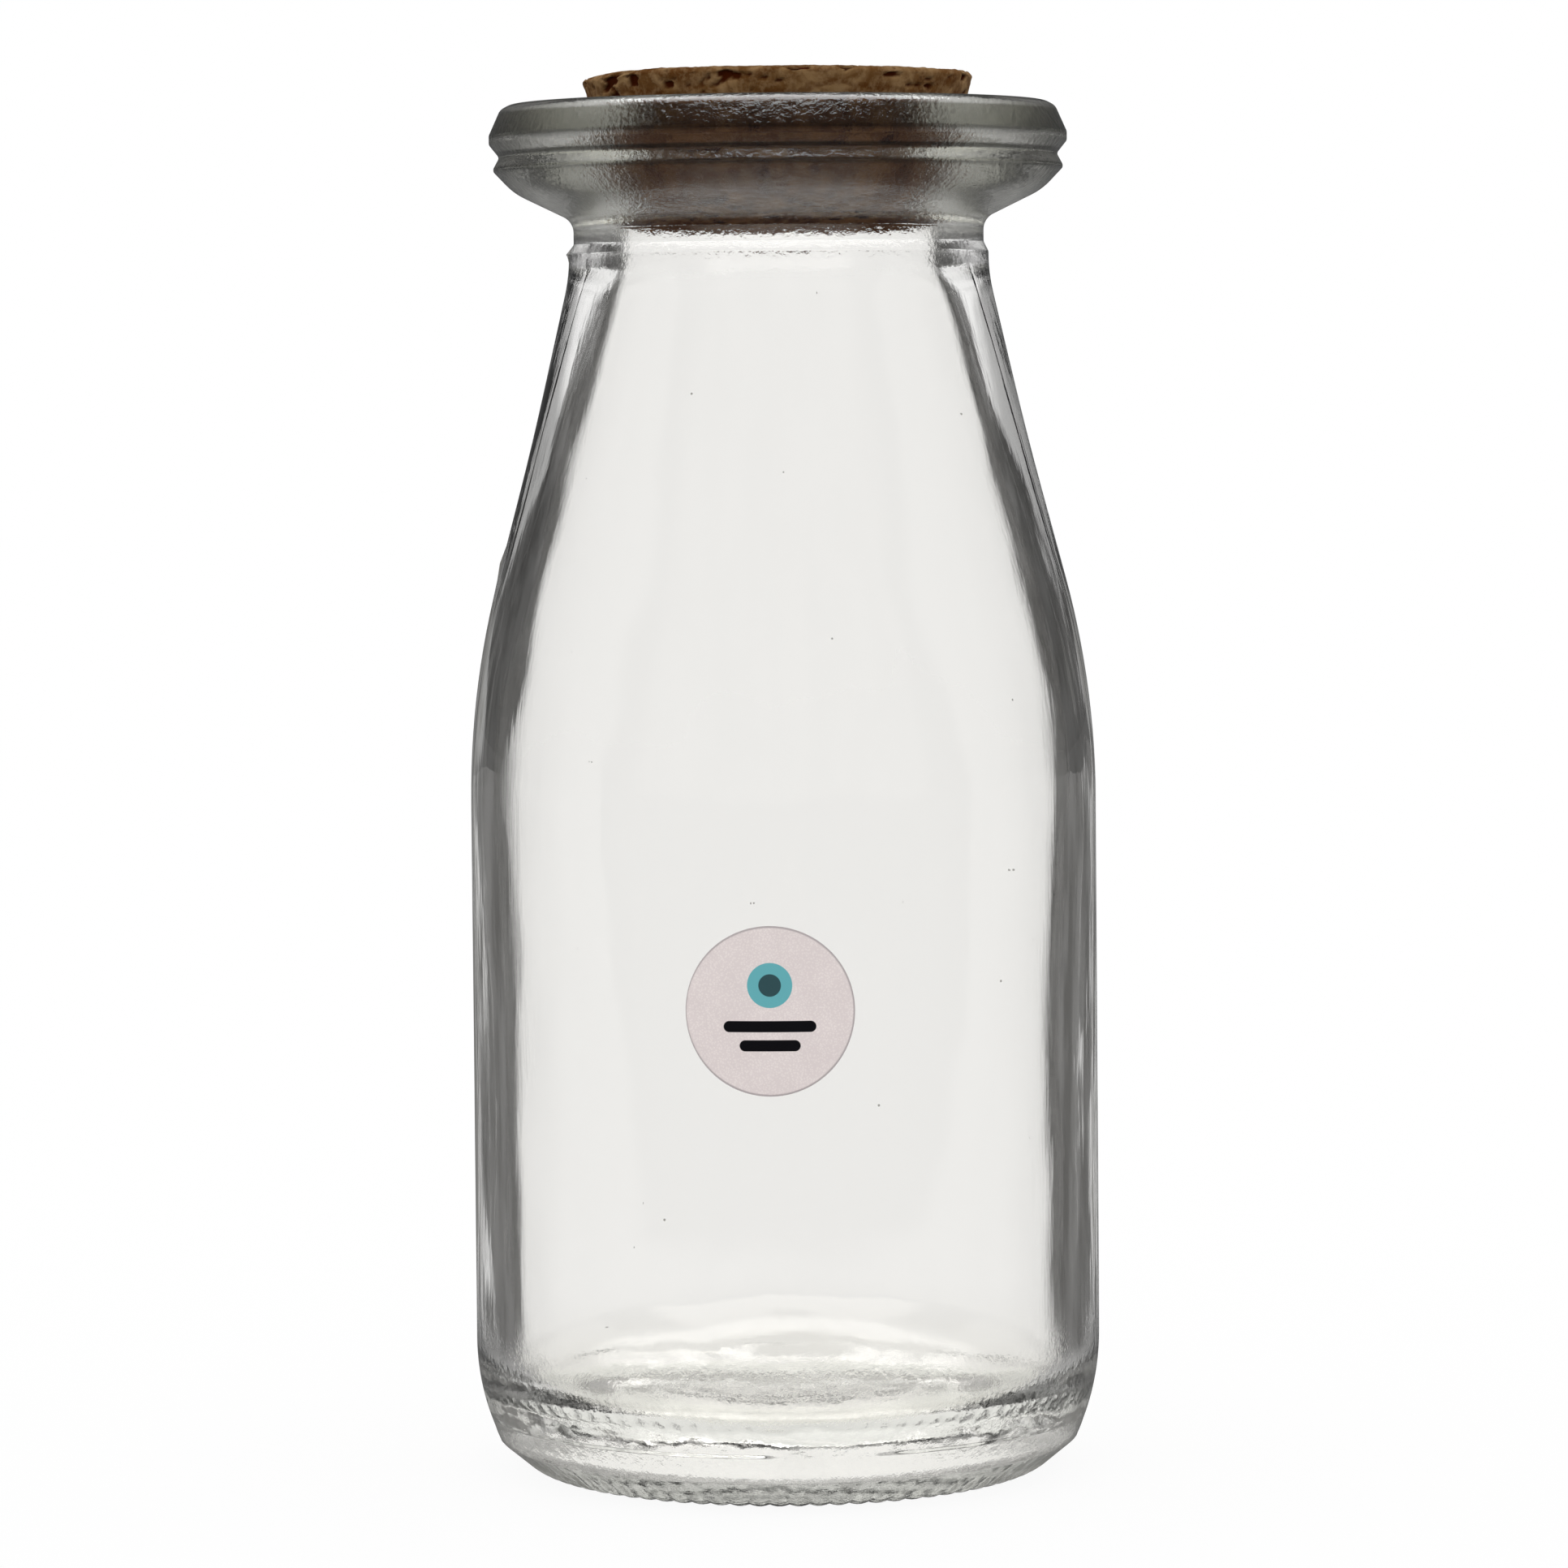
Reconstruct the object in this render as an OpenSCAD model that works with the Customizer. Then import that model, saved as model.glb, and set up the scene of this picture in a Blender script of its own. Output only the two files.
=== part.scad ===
// Glass milk bottle with a tapered cork stopper and a round paper label.
// The bottle is one blow-moulded piece of glass: it stands on a bearing ring round a raised base, and
// ends in a heavy beaded finish with a tapered mouth that the cork seats in.
// Millimetres, +Z up, origin on the standing plane under the bottle's axis, label on the -Y side.

/* [Base] */
// Diameter at the foot of the heel, where it would meet the standing plane as a sharp corner
foot_d = 47; // [44:0.5:52]
// Rounding between the bearing ring and the foot
foot_round = 3.4; // [1:0.1:5]
// Width of the bearing ring, measured between its sharp corners
ring_w = 3.2; // [2:0.1:5]
// Height of the raised middle of the base, seen from below
push_up = 3; // [1:0.1:3.8]
// Diameter of the raised middle of the base
push_up_d = 28; // [20:1:34]
// Height of the parting line round the heel
seam_z = 2.7; // [2:0.1:3.6]
// Diameter of the glass just below the parting line of the heel
seam_d = 53.5; // [52.5:0.1:54]
// Step that the parting line of the heel leaves in the radius
seam_step = 0.2; // [0.1:0.05:0.4]

/* [Body] */
// Outside diameter of the straight wall
body_d = 58; // [56:0.5:64]
// Thickness of the straight wall
wall = 3; // [2:0.1:4]
// Height at which the heel would meet the straight wall as a sharp corner
heel_h = 7.8; // [6:0.1:12]
// Rounding between the heel and the straight wall
heel_round = 22; // [10:1:30]
// Height of the inner floor above the standing plane
floor_z = 6; // [5:0.1:9]
// Rounding between the inner floor and the inner wall
floor_round = 9; // [4:0.5:14]

/* [Shoulder] */
// Height at which the straight wall would meet the shoulder cone as a sharp corner
wall_top_z = 72.4; // [55:0.1:85]
// Rounding between the straight wall and the shoulder cone
shoulder_round = 80; // [30:5:120]
// Height of the shoulder cone
shoulder_h = 23; // [18:0.1:40]
// Diameter where the shoulder cone runs into the neck cone
waist_d = 45.8; // [42:0.1:50]
// Thickness of the glass there
waist_wall = 3.2; // [2:0.1:4]
// Rounding between the shoulder cone and the neck cone
waist_round = 300; // [100:10:600]
// Height of the neck cone
neck_cone_h = 15.2; // [10:0.1:25]
// Rounding between the neck cone and the upright glass under the neck's parting line
neck_foot_round = 16; // [5:1:40]
// Height of that upright glass, up to the parting line
neck_foot_h = 2; // [1:0.1:4]

/* [Neck and finish] */
// Outside diameter of the short straight neck
neck_d = 37.9; // [36:0.1:40]
// Height of the short straight neck, from the parting line to the finish
neck_h = 3; // [1.5:0.1:8]
// Step that the parting line of the neck leaves in the radius
neck_step = 0.45; // [0.1:0.05:0.6]
// Height over which that step rises
neck_step_h = 0.9; // [0.3:0.1:1.2]
// Fillet between the neck and the underside of the finish
neck_fillet = 1.6; // [0.5:0.1:2.5]
// Diameter where the flared underside of the finish turns up to the lower bead
flare_d = 48.8; // [46:0.1:50]
// Height of the flared underside
flare_h = 2.65; // [2:0.05:5]
// Diameter of the lower bead
lower_bead_d = 52.8; // [52:0.1:53.2]
// Height of the lower bead
lower_bead_h = 2.1; // [1.2:0.05:3]
// Height from the lower bead to the bottom of the groove, and from there to the main bead
groove_h = 1.2; // [0.8:0.05:2]
// Depth of the groove under the main bead
groove_depth = 0.95; // [0.4:0.05:1.4]
// Diameter of the main bead, the widest part of the finish
bead_d = 53.4; // [52.8:0.1:58]
// Height of the cylindrical land of the main bead
bead_land = 0.8; // [0.6:0.05:3]
// Rounding of the small corners of both beads
bead_round = 0.4; // [0.1:0.05:0.8]
// Height of the slanted side above the main bead
crown_h = 2.35; // [1.5:0.05:4]
// Diameter of the rim at the top of the slanted side
rim_d = 51.3; // [48:0.1:52]
// Height of the rounded rim above the slanted side
rim_h = 0.45; // [0.3:0.05:1.2]
// Diameter of the flat top of the rim
rim_flat_d = 49.6; // [44:0.1:50]
// Rounding of the rim's edges
rim_round = 1; // [0.3:0.1:2]

/* [Mouth and cork] */
// Diameter of the mouth at the top of the rim, where the taper would meet it as a sharp corner
mouth_d = 35.2; // [34:0.1:38]
// Diameter of the bore through the neck, below the tapered mouth
bore_d = 29.8; // [27:0.1:31]
// Depth of the tapered part of the mouth
mouth_depth = 11.2; // [8:0.1:13]
// Gap between the cork and the tapered mouth, measured across the axis
seat_gap = 0.15; // [0.05:0.01:0.4]
// Height of the cork above the rim
cork_proud = 2.9; // [1:0.1:10]
// Length of the cork's tapered plug below the rim
cork_plug = 11.2; // [6:0.1:13]
// Rounding of the cork's edges
cork_round = 0.6; // [0.2:0.1:1.5]

/* [Label] */
// Diameter of the round label
label_d = 15.1; // [8:0.1:30]
// Height of the label's centre
label_z = 45.3; // [30:0.1:52]
// Angle of the label round the bottle, from the front and clockwise seen from above
label_turn = 2.7; // [-45:0.1:45]
// Thickness of the label's paper
label_t = 0.15; // [0.1:0.01:0.3]
// Thickness of the glue between the glass and the label
glue_t = 0.02; // [0.01:0.01:0.1]

/* [Quality] */
// Largest distance between the arc of a rounded corner and the chords that draw it
arc_error = 0.005; // [0.002:0.001:0.05]
// Largest turn from one of those chords to the next, in degrees
arc_turn = 9; // [3:1:15]
// Sides of the round shapes in a preview
$fn = 180; // [60:10:360]

/* [Hidden] */

// Heights, each stacked on the one below it
waist_z = wall_top_z + shoulder_h;
neck_foot_z = waist_z + neck_cone_h;
neck_seam_z = neck_foot_z + neck_foot_h;
neck_z = neck_seam_z + neck_step_h;
flare_z = neck_z + neck_h - neck_step_h;
flare_top_z = flare_z + flare_h;
lower_bead_z = flare_top_z + lower_bead_h;
groove_z = lower_bead_z + groove_h;
bead_z = groove_z + groove_h;
crown_z = bead_z + bead_land;
rim_z = crown_z + crown_h;
top_z = rim_z + rim_h;
mouth_z = top_z - mouth_depth;

// Change of the mouth's radius for each millimetre of height
taper = (mouth_d - bore_d) / 2 / mouth_depth;

// Radius of the cork at a height above the rim, or below it where the height is negative
function cork_r(above) = mouth_d / 2 - seat_gap + above * taper;

// The shortest length that a division is made by
tiny = 1e-6;

// Point of a profile without its rounding
function spot(row) = [row[0], row[1]];

// Length of the edge between two rows of a profile
function edge(a, b) = norm(spot(b) - spot(a));

// Turn of a profile at row i, in degrees, positive to the left
function turn(rows, i) =
    let (before = spot(rows[i]) - spot(rows[i - 1]), after = spot(rows[i + 1]) - spot(rows[i]))
    atan2(before.x * after.y - before.y * after.x, before * after);

// Distance from the corner of row i to the start of its rounding, before neighbours are looked at
function reach(rows, i) =
    i == 0 || i == len(rows) - 1 ? 0 : rows[i][2] * tan(abs(turn(rows, i)) / 2);

// Share of its reach that row i may keep, so that two roundings on one edge never cross
function kept(rows, i) = min(
    1,
    edge(rows[i - 1], rows[i]) / max(reach(rows, i - 1) + reach(rows, i), tiny),
    edge(rows[i], rows[i + 1]) / max(reach(rows, i) + reach(rows, i + 1), tiny));

// A vector turned by an angle
function turned(v, angle) = [v.x * cos(angle) - v.y * sin(angle), v.x * sin(angle) + v.y * cos(angle)];

// Points of the arc that rounds row i
function corner(rows, i) =
    let (
        angle = turn(rows, i),
        back = reach(rows, i) * kept(rows, i),
        along = (spot(rows[i]) - spot(rows[i - 1])) / edge(rows[i - 1], rows[i]),
        start = spot(rows[i]) - along * back,
        radius = back / max(tan(abs(angle) / 2), tiny),
        spoke = turned(along, angle < 0 ? 90 : -90) * radius,
        chord_turn = min(arc_turn, 2 * acos(1 - min(arc_error / max(radius, tiny), 1))),
        steps = ceil(abs(angle) / chord_turn)
    )
    back < tiny ? [spot(rows[i])] : [for (k = [0:steps]) start - spoke + turned(spoke, angle * k / steps)];

// Points of a profile whose rows are [radius, height, rounding], with every corner rounded
function rounded(rows) = [
    for (i = [0:len(rows) - 1])
        each i == 0 || i == len(rows) - 1 ? [spot(rows[i])] : corner(rows, i)
];

// Outside of the glass, from the middle of the base up to the mouth
outside = [
    [0, push_up, 0],
    [push_up_d / 2, push_up, push_up_d / 2],
    [foot_d / 2 - ring_w, 0, foot_round],
    [foot_d / 2, 0, foot_round],
    [seam_d / 2, seam_z, 0],
    [seam_d / 2 + seam_step, seam_z + seam_step, 0],
    [body_d / 2, heel_h, heel_round],
    [body_d / 2, wall_top_z, shoulder_round],
    [waist_d / 2, waist_z, waist_round],
    [neck_d / 2 + neck_step, neck_foot_z, neck_foot_round],
    [neck_d / 2 + neck_step, neck_seam_z, neck_step],
    [neck_d / 2, neck_z, neck_step],
    [neck_d / 2, flare_z, neck_fillet],
    [flare_d / 2, flare_top_z, neck_fillet],
    [lower_bead_d / 2, lower_bead_z, bead_round],
    [bead_d / 2 - groove_depth, groove_z, bead_round],
    [bead_d / 2, bead_z, bead_round],
    [bead_d / 2, crown_z, bead_round],
    [rim_d / 2, rim_z, rim_round],
    [rim_flat_d / 2, top_z, rim_round],
    [mouth_d / 2, top_z, rim_round]
];

// Inside of the glass, from the mouth down to the middle of the floor
inside = [
    [bore_d / 2, mouth_z, rim_round],
    [bore_d / 2, neck_seam_z, shoulder_round],
    [waist_d / 2 - waist_wall, waist_z, waist_round],
    [body_d / 2 - wall, wall_top_z, shoulder_round],
    [body_d / 2 - wall, floor_z, floor_round],
    [0, floor_z, 0]
];

// One blow-moulded piece of clear glass
module glass_bottle() {
    color([0.80, 0.85, 0.82, 0.4])
        rotate_extrude()
            polygon(rounded(concat(outside, inside)));
}

// Tapered cork, seated in the mouth with a part of it above the rim
module cork_stopper() {
    plug = [
        [0, top_z - cork_plug, 0],
        [cork_r(-cork_plug), top_z - cork_plug, cork_round],
        [cork_r(cork_proud), top_z + cork_proud, cork_round],
        [0, top_z + cork_proud, 0]
    ];
    color([0.47, 0.35, 0.26])
        rotate_extrude()
            polygon(rounded(plug));
}

// Tube of paper that the label is cut from
module paper_tube() {
    paper_r = body_d / 2 + glue_t;
    translate([0, 0, label_z - label_d / 2])
        difference() {
            cylinder(h = label_d, r = paper_r + label_t);
            translate([0, 0, -label_t])
                cylinder(h = label_d + 2 * label_t, r = paper_r);
        }
}

// Round paper label, glued to the front of the straight wall
module round_label() {
    color([0.80, 0.76, 0.75])
        rotate([0, 0, -label_turn])
            intersection() {
                paper_tube();
                translate([0, 0, label_z])
                    rotate([90, 0, 0])
                        cylinder(h = body_d, d = label_d);
            }
}

glass_bottle();
cork_stopper();
round_label();
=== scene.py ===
import math

import bmesh
import bpy
from mathutils import Matrix, Vector, noise


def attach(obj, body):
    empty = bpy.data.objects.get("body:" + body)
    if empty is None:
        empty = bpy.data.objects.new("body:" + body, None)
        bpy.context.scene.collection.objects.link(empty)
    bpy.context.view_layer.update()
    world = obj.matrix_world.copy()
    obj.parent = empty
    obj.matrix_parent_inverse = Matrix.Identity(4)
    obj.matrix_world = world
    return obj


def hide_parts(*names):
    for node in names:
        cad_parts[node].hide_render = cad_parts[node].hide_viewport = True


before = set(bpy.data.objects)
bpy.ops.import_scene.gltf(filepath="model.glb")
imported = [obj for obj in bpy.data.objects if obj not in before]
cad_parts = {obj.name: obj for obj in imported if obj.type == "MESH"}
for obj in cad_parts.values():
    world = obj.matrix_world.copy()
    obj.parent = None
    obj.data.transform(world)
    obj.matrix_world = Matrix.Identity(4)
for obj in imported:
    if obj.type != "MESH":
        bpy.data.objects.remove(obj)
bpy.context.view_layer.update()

MM = 0.001
TINY = 1e-6

# ---------------------------------------------------------------- sizes, in millimetres

FOOT_R, RING_W, PUSH_UP, PUSH_UP_R, FOOT_ROUND = 23.5, 3.2, 3.0, 14.0, 3.4
SEAM_R, SEAM_Z, SEAM_STEP = 26.75, 2.7, 0.2
BODY_R, HEEL_Z, WALL_TOP_Z, WAIST_R, WAIST_Z = 29.0, 7.8, 72.4, 22.9, 95.4
NECK_R, NECK_STEP, NECK_FOOT_Z, NECK_SEAM_Z, NECK_Z = 18.95, 0.45, 110.6, 112.6, 113.5
FLARE_R, FLARE_Z, FLARE_TOP_Z = 24.4, 115.6, 118.25
LOWER_BEAD_R, LOWER_BEAD_Z, GROOVE_R, GROOVE_Z = 26.4, 120.35, 25.75, 121.55
BEAD_R, BEAD_Z, CROWN_Z, RIM_R, RIM_Z = 26.7, 122.75, 123.55, 25.65, 125.9
RIM_FLAT_R, TOP_Z, MOUTH_R, BORE_R, MOUTH_Z = 24.8, 126.35, 17.6, 14.9, 115.15
WALL, WAIST_WALL, FLOOR_Z, FLOOR_ROUND = 3.0, 3.2, 6.0, 6.0

OUTSIDE = [
    (0, PUSH_UP, 0),
    (PUSH_UP_R, PUSH_UP, PUSH_UP_R),
    (FOOT_R - RING_W, 0, FOOT_ROUND),
    (FOOT_R, 0, FOOT_ROUND),
    (SEAM_R, SEAM_Z, 0),
    (SEAM_R + SEAM_STEP, SEAM_Z + SEAM_STEP, 0),
    (BODY_R, HEEL_Z, 22),
    (BODY_R, WALL_TOP_Z, 80),
    (WAIST_R, WAIST_Z, 300),
    (NECK_R + NECK_STEP, NECK_FOOT_Z, 16),
    (NECK_R + NECK_STEP, NECK_SEAM_Z, NECK_STEP),
    (NECK_R, NECK_Z, NECK_STEP),
    (NECK_R, FLARE_Z, 1.6),
    (FLARE_R, FLARE_TOP_Z, 6),
    (LOWER_BEAD_R, LOWER_BEAD_Z, 0.4),
    (GROOVE_R, GROOVE_Z, 0.4),
    (BEAD_R, BEAD_Z, 0.4),
    (BEAD_R, CROWN_Z, 0.4),
    (RIM_R, RIM_Z, 1),
    (RIM_FLAT_R, TOP_Z, 1),
    (MOUTH_R, TOP_Z, 1),
]
INSIDE = [
    (BORE_R, MOUTH_Z, 1),
    (BORE_R, NECK_SEAM_Z, 80),
    (WAIST_R - WAIST_WALL, WAIST_Z, 300),
    (BODY_R - WALL, WALL_TOP_Z, 80),
    (BODY_R - WALL, FLOOR_Z, FLOOR_ROUND),
    (0, FLOOR_Z, 0),
]

CORK_GAP, CORK_PROUD, CORK_PLUG = 0.15, 2.9, 11.2
CORK_TAPER = (MOUTH_R - BORE_R) / (TOP_Z - MOUTH_Z)

ROUND_STEPS = 400
TURN_STEP = 2 * math.pi / ROUND_STEPS
INNER_LOW_Z, INNER_HIGH_Z = 5.5, 126
KNURLS, TOOTH_DEEP, TOOTH_Z, SCALLOP_DEEP, SCALLOP_R = 80, 0.08, 3.5, 0.18, 18.5
RIPPLE_DEEP, NUB_OUT, NUBS = 0.07, 0.25, [(83.7, 0.9), (112.6, 0.25)]

LABEL_R, LABEL_Z, LABEL_TURN, LABEL_T, GLUE_T = 7.55, 45.3, 2.7, 0.15, 0.02
LABEL_INSET = 0.05 * LABEL_T
DISC_RISE, DISC_D, HOLE_D = 2.3, 4.0, 2.0
BAR_T, BARS = 1.0, [(3.6, -1.35), (2.2, -3.05)]

# ---------------------------------------------------------------- camera

CAMERA_AWAY, CAMERA_HEIGHT = 567.0, 103.0
CAMERA_TILT, CAMERA_ROLL = 2.86, 0.5
LENS = 140.5
SHIFT_X, SHIFT_Y = 0.0011, -0.0775


def add_camera():
    """The one camera, level with the shoulder and tilted slightly down."""
    data = bpy.data.cameras.new("camera")
    data.sensor_width = 36
    data.lens = LENS
    data.shift_x, data.shift_y = SHIFT_X, SHIFT_Y
    data.clip_start, data.clip_end = 0.01, 50
    camera = bpy.data.objects.new("camera", data)
    aim = Matrix.Rotation(math.radians(90 - CAMERA_TILT), 4, "X")
    roll = Matrix.Rotation(math.radians(-CAMERA_ROLL), 4, "Z")
    place = Matrix.Translation((0, -CAMERA_AWAY * MM, CAMERA_HEIGHT * MM))
    camera.matrix_world = place @ aim @ roll
    bpy.context.scene.collection.objects.link(camera)
    bpy.context.scene.camera = camera


# ---------------------------------------------------------------- profiles


def rounded(rows, arc_error=0.004):
    """Points of a profile whose rows are (radius, height, rounding), with every corner rounded."""
    spots = [Vector(row[:2]) for row in rows]
    last = len(rows) - 1

    def turn(i):
        before, after = spots[i] - spots[i - 1], spots[i + 1] - spots[i]
        return math.atan2(before.x * after.y - before.y * after.x, before.dot(after))

    def reach(i):
        return 0 if i in (0, last) else rows[i][2] * math.tan(abs(turn(i)) / 2)

    points = []
    for i, spot in enumerate(spots):
        if reach(i) < TINY:
            points.append(spot)
            continue
        into, out = (spot - spots[i - 1]).length, (spots[i + 1] - spot).length
        kept = min(1, into / (reach(i - 1) + reach(i)), out / (reach(i) + reach(i + 1)))
        back = reach(i) * kept
        along = (spot - spots[i - 1]) / into
        radius = back / math.tan(abs(turn(i)) / 2)
        side = Vector((along.y, -along.x)) if turn(i) > 0 else Vector((-along.y, along.x))
        spoke = side * radius
        centre = spot - along * back - spoke
        chord = min(math.radians(15), 2 * math.acos(1 - min(arc_error / radius, 1)))
        steps = math.ceil(abs(turn(i)) / chord)
        for k in range(steps + 1):
            points.append(centre + Matrix.Rotation(turn(i) * k / steps, 2) @ spoke)
    return points


def divided(points, longest):
    """The same profile with no edge longer than given."""
    out = [points[0]]
    for a, b in zip(points, points[1:]):
        parts = max(1, math.ceil((b - a).length / longest))
        out += [a.lerp(b, k / parts) for k in range(1, parts + 1)]
    return out


def spun(points, steps):
    """A bmesh of a profile in millimetres turned once round the upright axis, an eighth at a time."""
    bm = bmesh.new()
    verts = [bm.verts.new((p.x * MM, 0, p.y * MM)) for p in points]
    edges = [bm.edges.new(pair) for pair in zip(verts, verts[1:])]
    share = 2 * math.pi / 8
    bmesh.ops.spin(bm, geom=verts + edges, axis=(0, 0, 1), angle=share, steps=steps // 8)
    for _ in range(3):
        copy = bmesh.ops.duplicate(bm, geom=bm.verts[:] + bm.edges[:] + bm.faces[:])["geom"]
        turned = [v for v in copy if isinstance(v, bmesh.types.BMVert)]
        bmesh.ops.rotate(bm, verts=turned, matrix=Matrix.Rotation(share, 3, "Z"))
        share *= 2
    bmesh.ops.remove_doubles(bm, verts=bm.verts, dist=TINY)
    bmesh.ops.recalc_face_normals(bm, faces=bm.faces)
    return bm


def piece(name, bm, body, material, *nodes):
    """A finished object from a bmesh, riding on its body and standing for CAD nodes."""
    mesh = bpy.data.meshes.new(name)
    bm.to_mesh(mesh)
    bm.free()
    mesh.shade_smooth()
    mesh.materials.append(material)
    obj = bpy.data.objects.new(name, mesh)
    bpy.context.scene.collection.objects.link(obj)
    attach(obj, body)
    if nodes:
        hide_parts(*nodes)
    return obj


# ---------------------------------------------------------------- shader helpers


def grey(level):
    return (level, level, level, 1)


class Tree:
    """Short hand for adding and joining shader nodes."""

    def __init__(self, tree):
        self.tree = tree

    def add(self, kind, props=None, **inputs):
        """A node, its inputs given by name or, as i0, i1 and so on, by number."""
        node = self.tree.nodes.new("ShaderNode" + kind)
        for key, value in (props or {}).items():
            setattr(node, key, value)
        for key, value in inputs.items():
            numbered = key[0] == "i" and key[1:].isdigit()
            socket = node.inputs[int(key[1:]) if numbered else key.replace("_", " ")]
            self.put(value, socket)
        return node

    def put(self, value, socket):
        if isinstance(value, bpy.types.NodeSocket):
            self.tree.links.new(value, socket)
        elif isinstance(value, bpy.types.Node):
            self.tree.links.new(value.outputs[0], socket)
        else:
            socket.default_value = value

    def math(self, operation, a, b=0.0):
        return self.add("Math", {"operation": operation}, i0=a, i1=b).outputs[0]

    def times(self, first, *others):
        for other in others:
            first = self.math("MULTIPLY", first, other)
        return first

    def most(self, first, *others):
        for other in others:
            first = self.math("MAXIMUM", first, other)
        return first

    def one_minus(self, value):
        return self.math("SUBTRACT", 1.0, value)

    def length(self, a, b):
        return self.math("SQRT", self.math("ADD", self.times(a, a), self.times(b, b)))

    def between(self, value, low, high, out_low=0.0, out_high=1.0):
        """A soft step from out_low at low to out_high at high."""
        return self.add(
            "MapRange", {"interpolation_type": "SMOOTHSTEP"},
            i0=value, i1=low, i2=high, i3=out_low, i4=out_high,
        ).outputs[0]

    def ramp(self, value, stops):
        node = self.add("ValToRGB", i0=value)
        elements = node.color_ramp.elements
        while len(elements) < len(stops):
            elements.new(0.5)
        for element, (position, tint) in zip(elements, stops):
            element.position = position
            element.color = (*tint, 1)
        return node.outputs[0]

    def mix(self, factor, a, b, blend="MIX"):
        node = self.add("Mix", {"data_type": "RGBA", "blend_type": blend})
        self.put(factor, node.inputs[0])
        self.put(a, node.inputs[6])
        self.put(b, node.inputs[7])
        return node.outputs[2]


def new_material(name):
    material = bpy.data.materials.new(name)
    material.use_nodes = True
    material.node_tree.nodes.clear()
    return material, Tree(material.node_tree)


# ---------------------------------------------------------------- glass

# painted shade: tints of the light that passes the glass at each height of the finish, in millimetres, darkening the
# crown and the grooves between paler bands on its front
FINISH_SHADE_LOW_Z, FINISH_SHADE_SPAN = 118.0, 8.5
FINISH_PAINTED_SHADES = [
    (118.0, (1, 1, 0.97)), (119.9, (0.9, 0.9, 0.86)), (120.2, (0.25, 0.25, 0.23)),
    (120.5, (0.25, 0.25, 0.23)), (120.75, (0.85, 0.85, 0.81)), (121.45, (0.65, 0.65, 0.61)),
    (121.65, (0.10, 0.10, 0.09)), (121.9, (0.10, 0.10, 0.09)), (122.1, (1, 1, 0.97)),
    (122.9, (1, 1, 0.97)), (123.3, (0.14, 0.14, 0.12)), (125.4, (0.24, 0.24, 0.20)),
    (125.65, (1, 1, 1)), (125.95, (1, 1, 1)), (126.15, (0.2, 0.2, 0.18)),
]
WALL_TINT, FOOT_TINT, UNDER_SEAM_TINT = (0.980, 0.975, 0.962, 1), (0.87, 0.86, 0.82, 1), (0.84, 0.85, 0.78, 1)
SPECK_TINT = (0.06, 0.055, 0.04, 1)
# painted shade for the dark edges of the glass, on the body and the crown
BODY_SHADES = (0.013, 0.0125, 0.0115, 1), (0.045, 0.044, 0.042, 1)
CROWN_SHADES = (0.03, 0.03, 0.02, 1), (0.17, 0.17, 0.14, 1)
# painted shade for the flare's dark edges, and the painted glow where light carried along the wall runs out
FLARE_SHADE, GUIDED_PAINTED_GLOW = (0.32, 0.32, 0.30, 1), (0.16, 0.158, 0.15, 1)


def glass_skin(t, place, height):
    """Orange peel on the wall, drawn-out streaks at neck and foot, and rings on the inner floor."""
    peel = t.add("TexNoise", Vector=place, Scale=1700.0, Detail=3.0, Roughness=0.6).outputs[0]
    drawn_out = t.add("Mapping", Vector=place, Scale=(420, 420, 60))
    streaks = t.add("TexNoise", Vector=drawn_out, Scale=1.0, Detail=3.0, Roughness=0.6).outputs[0]
    rings = t.add(
        "TexWave", {"wave_type": "RINGS", "rings_direction": "Z"},
        Vector=place, Scale=75.0, Distortion=7.0, Detail=3.0, Detail_Scale=1.5,
    ).outputs[1]

    neck, foot = t.between(height, 108.5, 112.5), t.between(height, 17, 10)
    skin = t.mix(t.most(neck, foot), streaks, peel)
    depth = 0.09
    for where, more in [(t.between(height, 115, 116.5), 0.42), (neck, 0.05), (foot, 0.08)]:
        depth = t.math("ADD", depth, t.times(where, more))
    on_floor = t.times(t.between(height, 5.2, 5.6), t.between(height, 8, 6.8))
    grain = t.math("ADD", t.times(skin, depth), t.times(rings, on_floor))
    return peel, streaks, t.add("Bump", Strength=1.0, Distance=0.00015, Height=grain)


def dark_edges(t, height, bump, inner, behind, path):
    """Where the glass colour is darkened as painted shade for light trapped in the wall: the rim of the inner
    surface, and light turned back at the outer one.
    """
    facing = t.add("LayerWeight", Blend=0.5, Normal=bump).outputs["Facing"]
    inner_edge = t.times(t.between(facing, 0.60, 0.74), inner, t.between(height, 7.5, 13.5))

    trapped = t.times(path["Is Reflection Ray"], behind)
    limit = t.math(
        "ADD",
        t.between(height, 80, 112, 0.242, 0.192),
        t.between(height, 113.5, 117, 0.0, 0.6),
    )
    outer_edge = t.between(t.math("SUBTRACT", facing, limit), 0.008, -0.008)
    straight_on = t.times(t.between(height, 112.5, 117), t.between(facing, 0.035, 0.02))
    outer_edge = t.times(outer_edge, t.between(height, 4, 12), t.one_minus(straight_on), trapped)
    return t.most(inner_edge, outer_edge)


def edge_shade(t, height, peel, streaks):
    """Colour of the painted shade on those dark edges: streaky on the wall, lumpy on the crown, pale under the beads.
    """
    wall = t.mix(t.between(streaks, 0.35, 0.65), *BODY_SHADES)
    crown = t.mix(t.between(peel, 0.40, 0.62), *CROWN_SHADES)
    finish = t.mix(t.between(height, 123.6, 123.0), crown, FLARE_SHADE)
    return t.mix(t.between(height, 112.5, 117), wall, finish)


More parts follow.
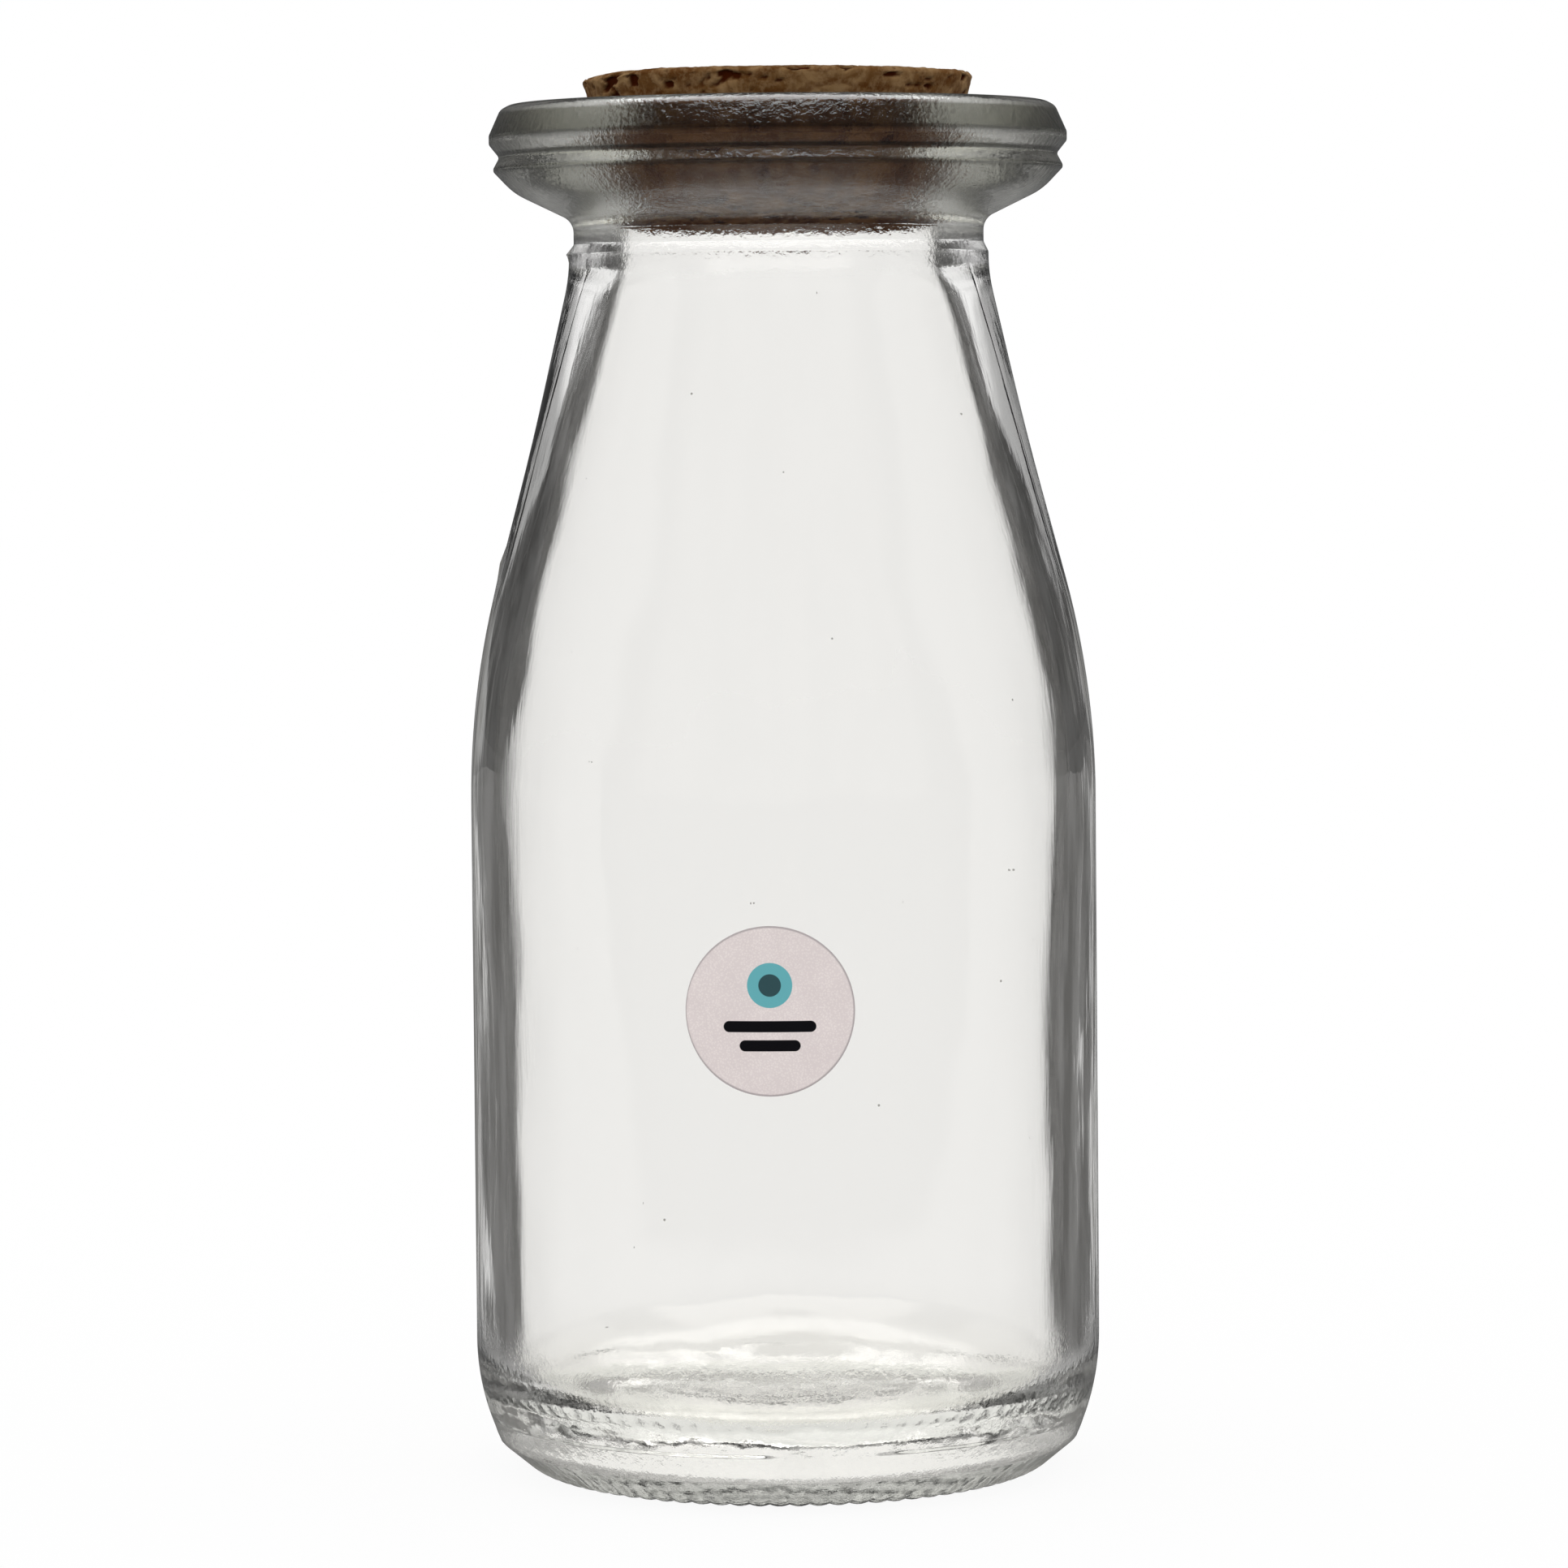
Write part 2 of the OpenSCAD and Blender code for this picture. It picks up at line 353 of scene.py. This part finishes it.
def glass_tint(t, place, height, inner, behind):
    """Colour of the clear glass: near white, with rings of painted shade on the front of the finish, a greyer foot
    and a few dark specks.
    """
    row = t.math("DIVIDE", t.math("SUBTRACT", height, FINISH_SHADE_LOW_Z), FINISH_SHADE_SPAN)
    # painted shade in rings on the finish, only on its front outer surface
    rings = t.ramp(row, [((z - FINISH_SHADE_LOW_Z) / FINISH_SHADE_SPAN, tint) for z, tint in FINISH_PAINTED_SHADES])
    painted_shade_front = t.times(t.one_minus(behind), t.one_minus(inner), t.between(height, 112.5, 117))
    tint = t.mix(t.between(height, 14, 4), WALL_TINT, FOOT_TINT)
    tint = t.mix(t.between(height, 3.0, 2.4), tint, UNDER_SEAM_TINT)
    tint = t.mix(1.0, tint, t.mix(painted_shade_front, grey(1), rings), "MULTIPLY")
    specks = t.add("TexVoronoi", Vector=place, Scale=260.0)
    rare = t.math("LESS_THAN", t.add("SeparateColor", i0=specks.outputs["Color"]).outputs[0], 0.2)
    specks = t.times(t.between(specks.outputs["Distance"], 0.038, 0.024), rare, 0.9)
    return t.mix(specks, tint, SPECK_TINT)


def clear_glass():
    """Pale soda-lime glass: clear walls, edges darkened with painted shade where light is trapped in the wall, and a
    moulded skin.
    """
    material, t = new_material("clear_glass")
    place = t.add("TexCoord").outputs["Object"]
    height = t.times(t.add("SeparateXYZ", i0=place).outputs[2], 1 / MM)
    inner = t.add("Attribute", {"attribute_name": "inner"}).outputs["Fac"]
    behind = t.add("NewGeometry").outputs["Backfacing"]
    path = t.add("LightPath").outputs

    peel, streaks, bump = glass_skin(t, place, height)
    dark = dark_edges(t, height, bump, inner, behind, path)
    colour = t.mix(dark, glass_tint(t, place, height, inner, behind), edge_shade(t, height, peel, streaks))

    # light carried along the upright wall would turn black at the renderer's limit of reflections, so past it the
    # glass turns black and glows with painted light in its place
    upright = t.times(t.between(height, 14, 20), t.between(height, 84, 76))
    painted_glow = t.times(t.math("GREATER_THAN", path["Glossy Depth"], 3.5), upright)
    shader = t.add(
        "BsdfPrincipled", Roughness=0.0, IOR=1.5, Transmission_Weight=1.0, Normal=bump,
        Base_Color=t.mix(painted_glow, colour, grey(0)), Emission_Color=GUIDED_PAINTED_GLOW, Emission_Strength=painted_glow,
    )
    t.add("OutputMaterial", Surface=shader)
    return material


# ---------------------------------------------------------------- cork and paper

CORK_BROWN, CORK_TAN = (0.125, 0.055, 0.015, 1), (0.26, 0.155, 0.068, 1)
CORK_BAND, CORK_FLECK, CORK_PIT = (0.080, 0.024, 0.002, 1), (0.30, 0.19, 0.095, 1), (0.050, 0.008, 0.0005, 1)
# painted shade for the plug in the mouth of the bottle
PLUG_PAINTED_SHADE = (0.80, 0.58, 0.42, 1)
PAPER, PAPER_DOT, PAPER_CLOUD = (0.78, 0.71, 0.69, 1), (0.71, 0.635, 0.625, 1), (0.56, 0.49, 0.49, 1)
PAPER_RIM = (0.36, 0.32, 0.33, 1)
INK_TEAL, INK_DEEP, INK_BLACK = (0.125, 0.405, 0.445, 1), (0.030, 0.075, 0.085, 1), (0.004, 0.004, 0.006, 1)


def cork_material():
    """Natural cork: brown with tan flecks, swirled growth bands and red-brown pits, with painted shade that makes the
    plug in the mouth darker and redder.
    """
    material, t = new_material("natural_cork")
    place = t.add("TexCoord").outputs["Object"]
    height = t.times(t.add("SeparateXYZ", i0=place).outputs[2], 1 / MM)
    pit = t.add("Attribute", {"attribute_name": "pit"}).outputs["Fac"]
    swirl = t.add("TexNoise", Vector=place, Scale=130.0, Detail=4.0, Roughness=0.6, Distortion=2.0).outputs[0]
    grain = t.add("TexNoise", Vector=place, Scale=1300.0, Detail=4.0, Roughness=0.7).outputs[0]
    cells = t.add("TexVoronoi", Vector=place, Scale=700.0).outputs[0]
    bands = t.add(
        "TexWave", {"bands_direction": "Z"},
        Vector=place, Scale=150.0, Distortion=14.0, Detail=4.0, Detail_Scale=1.0,
    ).outputs[1]
    crack = t.add(
        "TexNoise", {"noise_type": "RIDGED_MULTIFRACTAL"},
        Vector=place, Scale=190.0, Detail=3.0, Distortion=1.5,
    ).outputs[0]

    colour = t.mix(t.between(swirl, 0.42, 0.62), CORK_BROWN, CORK_TAN)
    colour = t.mix(t.times(t.between(bands, 0.55, 1.0), 0.6), colour, CORK_BAND)
    colour = t.mix(t.times(t.between(grain, 0.42, 0.66), 0.5), colour, CORK_FLECK)
    # painted shade: the plug, in the mouth of the bottle, is made darker and redder
    plug = t.between(height, TOP_Z + 0.4, TOP_Z - 1.2)
    colour = t.mix(plug, colour, t.mix(1.0, colour, PLUG_PAINTED_SHADE, "MULTIPLY"))

    speck = t.times(t.between(cells, 0.22, 0.12), t.between(swirl, 0.45, 0.60), 0.5)
    deep = t.most(pit, t.times(t.between(crack, 0.95, 1.25), 0.8), speck)
    colour = t.mix(t.between(deep, 0.10, 0.75), colour, CORK_PIT)
    relief = t.math("SUBTRACT", t.times(grain, 0.6), deep)
    bump = t.add("Bump", Strength=0.7, Distance=0.0003, Height=relief)
    shader = t.add("BsdfPrincipled", Roughness=0.9, Specular_IOR_Level=0.05, Base_Color=colour, Normal=bump)
    t.add("OutputMaterial", Surface=shader)
    return material


def paper_material():
    """Matt sticker paper with a fine dot screen, printed with a ring over two rounded bars."""
    material, t = new_material("printed_paper")
    place = t.add("TexCoord").outputs["Object"]
    across, back, up = t.add("SeparateXYZ", i0=place).outputs[:3]
    middle = -math.sin(math.radians(LABEL_TURN)) * BODY_R * MM
    x = t.math("SUBTRACT", across, middle)
    z = t.math("SUBTRACT", up, LABEL_Z * MM)

    def blot(half, rise, thick):
        """Inside of a level bar with round ends, its half length measured to the middle of the end."""
        nearest = t.math("MINIMUM", t.math("MAXIMUM", x, -half * MM), half * MM)
        away = t.length(t.math("SUBTRACT", x, nearest), t.math("SUBTRACT", z, rise * MM))
        return t.between(away, (thick / 2 + 0.03) * MM, (thick / 2 - 0.03) * MM)

    dots = t.add("TexVoronoi", Vector=place, Scale=5200.0).outputs[0]
    cloud = t.add("TexNoise", Vector=place, Scale=350.0, Detail=2.0).outputs[0]
    paper = t.mix(t.between(dots, 0.2, 0.6), PAPER, PAPER_DOT)
    paper = t.mix(t.times(t.between(cloud, 0.4, 0.6), 0.12), paper, PAPER_CLOUD)
    rim = t.between(t.length(x, z), (LABEL_R - 0.22) * MM, (LABEL_R - 0.10) * MM)
    paper = t.mix(t.times(rim, 0.7), paper, PAPER_RIM)

    face = t.math("GREATER_THAN", t.length(across, back), (BODY_R + GLUE_T + LABEL_T * 0.6) * MM)
    bars = t.most(*[blot(half, rise, BAR_T) for half, rise in BARS])
    for print_area, ink in [
        (blot(0, DISC_RISE, DISC_D), INK_TEAL), (blot(0, DISC_RISE, HOLE_D), INK_DEEP), (bars, INK_BLACK),
    ]:
        paper = t.mix(t.times(print_area, face), paper, ink)
    fibres = t.add("TexNoise", Vector=place, Scale=900.0, Detail=2.0)
    bump = t.add("Bump", Strength=0.3, Distance=0.00005, Height=fibres)
    shader = t.add("BsdfPrincipled", Roughness=0.6, Specular_IOR_Level=0.1, Base_Color=paper, Normal=bump)
    t.add("OutputMaterial", Surface=shader)
    return material


# ---------------------------------------------------------------- pieces


def smooth(x, low, high):
    x = min(max((x - low) / (high - low), 0.0), 1.0)
    return x * x * (3 - 2 * x)


def bell(x, middle, width):
    return math.exp(-(((x - middle) / width) ** 2))


def wall_wave(x, y, z):
    """How far the inner wall of the blown glass wanders outwards at a place, in millimetres."""
    broad = 0.5 * bell(z, 62, 17) - 0.2 * bell(z, 37, 12)
    slow = 0.22 * noise.noise(Vector((x / 18, y / 18, z / 26)))
    quick = 0.05 * noise.noise(Vector((x / 5, y / 5, z / 7 + 9)))
    return (broad + slow + quick) * smooth(z, 7, 16) * (1 - smooth(z, 106, 112))


def shape_inside(v, x, y, z, out):
    """The uneven inner wall and the uneven inner floor."""
    v.co += out * wall_wave(x, y, z) * MM
    if z < FLOOR_Z + 2:
        v.co.z += 0.12 * noise.noise(Vector((x / 4, y / 4, 3))) * MM


def shape_outside(v, x, y, z, out):
    """The marks of the mould: scalloped foot, toothed heel, side seams with nubs, and a faint ripple."""
    r, angle = math.hypot(x, y), math.atan2(y, x)
    if z < 2.2 and r > SCALLOP_R:
        scallop = 1 - abs(math.sin(angle * KNURLS / 2))
        v.co -= v.normal * SCALLOP_DEEP * scallop * smooth(r, SCALLOP_R, SCALLOP_R + 2.5) * MM
    if SEAM_Z < z < 4.6:
        tooth = (angle * KNURLS / (2 * math.pi) + z * 0.35) % 1.0
        v.co -= out * TOOTH_DEEP * tooth * bell(z, TOOTH_Z, 0.7) * MM
    if z > 4:
        off_seam = min(1, min(abs(angle), math.pi - abs(angle)) / TURN_STEP)
        ripple = 0.5 + 0.5 * noise.noise(Vector((x / 9, y / 9, z / 12 + 4)))
        v.co -= out * RIPPLE_DEEP * off_seam * ripple * MM
        if abs(angle) > math.pi - TURN_STEP / 2:
            v.co += out * NUB_OUT * sum(bell(z, *nub) for nub in NUBS) * MM


def shape_glass(bm):
    """Marks every inner vertex for the material and gives both surfaces their small unevenness."""
    inner = bm.verts.layers.float.new("inner")
    bm.normal_update()
    for v in bm.verts:
        x, y, z = (c / MM for c in v.co)
        r = math.hypot(x, y)
        if r < 0.01:
            v[inner] = float(z > INNER_LOW_Z)
            continue
        out = Vector((x, y, 0)) / r
        in_wall = v.normal.dot(out) < -0.05 and z < INNER_HIGH_Z
        on_floor = v.normal.z > 0.5 and z < 20
        if z > INNER_LOW_Z and (in_wall or on_floor):
            v[inner] = 1.0
            shape_inside(v, x, y, z, out)
        else:
            shape_outside(v, x, y, z, out)


def glass_bottle(material):
    """The bottle, both surfaces in one closed profile."""
    bm = spun(divided(rounded(OUTSIDE + INSIDE), 1.7), ROUND_STEPS)
    shape_glass(bm)
    glass = piece("bottle_glass", bm, "bottle", material, "glass_bottle")


def cork_r(above):
    """Radius of the cork at a height above the rim of the mouth."""
    return MOUTH_R - CORK_GAP + above * CORK_TAPER


def pit_depth(p):
    """Share of the full depth that a pit in the cork has at a place."""
    large = noise.noise(Vector((p.x * 0.5, p.y * 0.5, p.z * 1.4 + 20)))
    small = noise.noise(Vector((p.x * 1.1, p.y * 1.1, p.z * 1.8 + 7)))
    return min(1.0, smooth(large, 0.34, 0.52) + 0.7 * smooth(small, 0.42, 0.62))


def top_wear(p):
    """How far the top of the cork is worn down, most at its edge and on the left."""
    broad = 0.06 * (1 + noise.noise(Vector((p.x * 0.25, p.y * 0.25, 5))))
    fine = 0.08 * (1 + noise.noise(Vector((p.x, p.y, 11))))
    edge = smooth(math.hypot(p.x, p.y), 15, 18)
    left = 0.35 * smooth(-p.x, 11, 18.3)
    return (broad + fine) * (0.35 + edge) + left * edge


def cork_stopper(material):
    """The tapered cork, pitted all over, with a crumbled top."""
    foot, top = TOP_Z - CORK_PLUG, TOP_Z + CORK_PROUD
    rows = [(0, foot, 0), (cork_r(-CORK_PLUG), foot, 0.6), (cork_r(CORK_PROUD), top, 0.5), (0, top, 0)]
    bm = spun(divided(rounded(rows), 0.33), 320)
    pit = bm.verts.layers.float.new("pit")
    bm.normal_update()
    for v in bm.verts:
        p = v.co / MM
        v[pit] = pit_depth(p)
        v.co -= v.normal * (0.42 * v[pit] + 0.05 * (1 + noise.noise(p * 2.1))) * MM
        v.co.z -= top_wear(p) * smooth(p.z, TOP_Z + 1, top) * MM
    cork = piece("cork_body", bm, "cork", material, "cork_stopper")


def round_label(material):
    """A thin disc of paper, laid round the wall."""
    bm = bmesh.new()
    rings = 24
    verts = [bm.verts.new((LABEL_R * MM * k / rings, 0, 0)) for k in range(rings + 1)]
    edges = [bm.edges.new(pair) for pair in zip(verts, verts[1:])]
    bmesh.ops.spin(bm, geom=verts + edges, axis=(0, 1, 0), angle=2 * math.pi, steps=128, use_merge=True)
    bmesh.ops.remove_doubles(bm, verts=bm.verts, dist=TINY)
    bmesh.ops.recalc_face_normals(bm, faces=bm.faces)
    if sum(f.normal.y for f in bm.faces) > 0:
        bmesh.ops.reverse_faces(bm, faces=bm.faces)
    bmesh.ops.solidify(bm, geom=bm.faces[:], thickness=(LABEL_T - 2 * LABEL_INSET) * MM)
    low = min(v.co.y for v in bm.verts)
    wall = BODY_R + GLUE_T
    for v in bm.verts:
        x, z = v.co.x / MM, v.co.z / MM
        turn = math.radians(-LABEL_TURN) + x / wall
        r = wall + LABEL_T - LABEL_INSET - (v.co.y - low) / MM
        v.co = Vector((r * math.sin(turn), -r * math.cos(turn), LABEL_Z + z)) * MM
    label = piece("label_paper", bm, "bottle", material, "round_label")


# ---------------------------------------------------------------- light and surroundings

# levels of the surroundings for each kind of light path, where 1 is the white backdrop
MIRRORED, OVERHEAD = 0.08, 7.0
SHUT_IN, SHUT_IN_FAR = 0.4, 1.3
BOUNCED_SIDE, BOUNCED_FRONT, BOUNCED_UP = 0.5, 0.08, 5.0
WINDOW = (2.4, 2.35, 2.3, 1)
FLOOR_GLOW, FLOOR_CUT_FRONT, FLOOR_CUT_MIRRORED, FLOOR_CUT_SHUT_IN = 0.93, 0.85, 0.87, 0.5


class RayKinds:
    """Kinds of light path that meet the surroundings, each 1 or 0.

    seen: from the camera, or through glass only. bounced: of those, reflected inside the glass.
    shut_in: from the cork or the label out through glass; far: through three walls or more.
    mirrored: reflected off an outer surface.
    """

    def __init__(self, t):
        path = t.add("LightPath").outputs
        lit = t.math("LESS_THAN", path["Diffuse Depth"], 0.5)
        through = t.times(path["Is Transmission Ray"], lit)
        self.seen = t.most(path["Is Camera Ray"], through)
        self.bounced = t.times(through, t.math("GREATER_THAN", path["Glossy Depth"], 0.5))
        self.shut_in = t.times(path["Is Transmission Ray"], t.one_minus(lit))
        self.far = t.math("GREATER_THAN", path["Transmission Depth"], 5.5)
        self.mirrored = t.times(path["Is Reflection Ray"], path["Is Glossy Ray"])


def world_light():
    """Plain light all round, a white backdrop behind glass, and a darker room in reflections."""
    world = bpy.data.worlds.new("studio")
    bpy.context.scene.world = world
    world.use_nodes = True
    world.node_tree.nodes.clear()
    t = Tree(world.node_tree)
    rays = RayKinds(t)
    aim = t.add("TexCoord").outputs["Generated"]
    _, depth, up = t.add("SeparateXYZ", i0=aim).outputs[:3]

    level = t.mix(rays.shut_in, grey(1), t.mix(rays.far, grey(SHUT_IN), grey(SHUT_IN_FAR)))
    level = t.mix(rays.mirrored, level, t.mix(t.between(up, 0.80, 0.88), grey(MIRRORED), grey(OVERHEAD)))
    level = t.mix(rays.seen, level, grey(1))

    near_side = t.between(depth, 0.05, -0.05)
    near_level = t.between(t.math("ABSOLUTE", up), 0.25, 0.15)
    below_high = t.times(near_side, t.between(up, 0.60, 0.50))
    for where, tint in [
        (near_level, t.mix(near_side, grey(BOUNCED_SIDE), grey(BOUNCED_FRONT))),
        (below_high, grey(BOUNCED_FRONT)),
        (t.between(depth, -0.45, -0.60), WINDOW),
        (t.between(up, 0.60, 0.75), grey(BOUNCED_UP)),
    ]:
        level = t.mix(t.times(rays.bounced, where), level, tint)
    t.add("OutputWorld", Surface=t.add("Background", i0=level))


def floor():
    """White floor that keeps the shadow, glows plainly behind glass, and is duller in reflections."""
    bm = bmesh.new()
    bmesh.ops.create_grid(bm, x_segments=1, y_segments=1, size=3.0)
    bmesh.ops.translate(bm, verts=bm.verts, vec=(0, 0, -0.05 * MM))
    mesh = bpy.data.meshes.new("floor")
    bm.to_mesh(mesh)
    bm.free()
    obj = bpy.data.objects.new("floor", mesh)
    bpy.context.scene.collection.objects.link(obj)

    material, t = new_material("floor_white")
    rays = RayKinds(t)
    depth = t.add("SeparateXYZ", i0=t.add("TexCoord").outputs["Object"]).outputs[1]
    dimmed = t.most(
        t.times(rays.bounced, t.between(depth, -0.02, -0.05, 0.0, FLOOR_CUT_FRONT)),
        t.times(rays.mirrored, FLOOR_CUT_MIRRORED),
        t.times(rays.shut_in, t.one_minus(rays.far), FLOOR_CUT_SHUT_IN),
    )
    glow = t.add("Emission", Color=grey(1), Strength=t.one_minus(dimmed))
    diffuse = t.add("BsdfDiffuse", Color=grey(1))
    share = t.most(t.times(rays.seen, FLOOR_GLOW), rays.mirrored, rays.shut_in)
    t.add("OutputMaterial", Surface=t.add("MixShader", i0=share, i1=diffuse, i2=glow))
    mesh.materials.append(material)


add_camera()
glass_bottle(clear_glass())
cork_stopper(cork_material())
round_label(paper_material())
world_light()
floor()

bpy.context.scene.view_settings.view_transform = "Standard"
